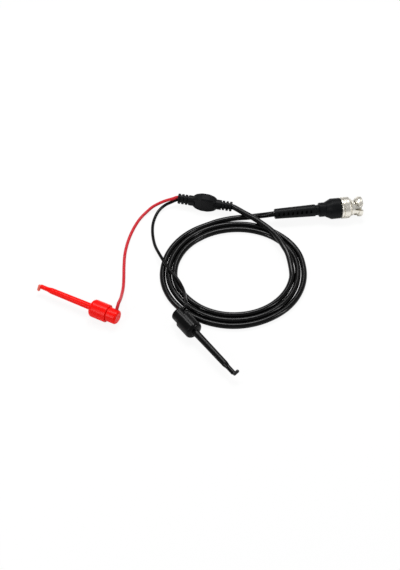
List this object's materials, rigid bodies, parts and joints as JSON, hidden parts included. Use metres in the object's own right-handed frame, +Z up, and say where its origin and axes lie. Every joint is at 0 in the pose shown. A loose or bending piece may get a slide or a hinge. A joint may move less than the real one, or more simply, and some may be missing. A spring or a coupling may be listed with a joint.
{
  "type": "bnc test lead",
  "caption": "Coaxial test lead: bayonet plug with ribbed strain relief, coiled cable, splitter, and a red and a black lead that end in spring-loaded hook clips.",
  "frame": {"origin": "centre of the bounding box's bottom face, measured without the cords; the lead lies on a table at z = 0", "axes": "+X along the plug's axis, towards the mouth of its coupling nut; +Z up from the table; +Y to the plug's left"},
  "size_m": [0.2264, 0.1572, 0.015],
  "materials": {
    "boot_vinyl": "moulded vinyl, soft satin",
    "nickel_plate": "nickel plated, turned, satin",
    "white_insulator": "machined, matte",
    "gold_plate": "gold plated",
    "spring_steel": "bare spring steel",
    "silicone": "moulded, matte",
    "cable_jacket": "extruded vinyl, satin",
    "red_jacket": "extruded vinyl, satin",
    "black_jacket": "extruded vinyl, satin",
    "red_nylon": "moulded, semi-gloss",
    "black_nylon": "moulded, semi-gloss",
    "red_wire": "coated wire",
    "black_wire": "coated wire"
  },
  "bodies": {
    "lead": {"plug_boot": "boot_vinyl", "plug_body": "nickel_plate", "outer_contact": "nickel_plate", "insulator": "white_insulator", "centre_pin": "gold_plate", "wave_washer": "spring_steel", "retaining_ring": "spring_steel", "gasket": "silicone", "plug_cable": "cable_jacket", "cable_coil": "cable_jacket", "splitter_cable": "cable_jacket", "splitter_body": "boot_vinyl", "red_lead": "red_jacket", "black_lead": "black_jacket", "red_clip_cap": "red_nylon", "red_clip_hook": "red_wire", "red_clip_spring": "spring_steel", "red_clip_terminal": "gold_plate", "black_clip_cap": "black_nylon", "black_clip_hook": "black_wire", "black_clip_spring": "spring_steel", "black_clip_terminal": "gold_plate"},
    "washer": {"thrust_washer": "spring_steel"},
    "nut": {"coupling_nut": "nickel_plate"},
    "red_barrel": {"red_clip_barrel": "red_nylon"},
    "black_barrel": {"black_clip_barrel": "black_nylon"}
  },
  "joints": [
    {"name": "nut_slide", "type": "slide", "parent": "lead", "child": "washer", "axis": [1, 0, 0], "range_m": [0, 0.0008], "stiffness_N_per_m": 10000, "springref_m": -0.0001, "deforming": ["wave_washer"]},
    {"name": "nut_turn", "type": "hinge", "parent": "washer", "child": "nut", "pos_m": [0.09935, 0.05055, 0.0075], "axis": [1, 0, 0], "continuous": true},
    {"name": "red_barrel_slide", "type": "slide", "parent": "lead", "child": "red_barrel", "axis": [0.832, -0.5548, 0], "range_m": [0, 0.003], "stiffness_N_per_m": 600, "springref_m": -0.003, "deforming": ["red_clip_spring"]},
    {"name": "black_barrel_slide", "type": "slide", "parent": "lead", "child": "black_barrel", "axis": [-0.497, 0.8678, 0], "range_m": [0, 0.003], "stiffness_N_per_m": 600, "springref_m": -0.003, "deforming": ["black_clip_spring"]}
  ]
}
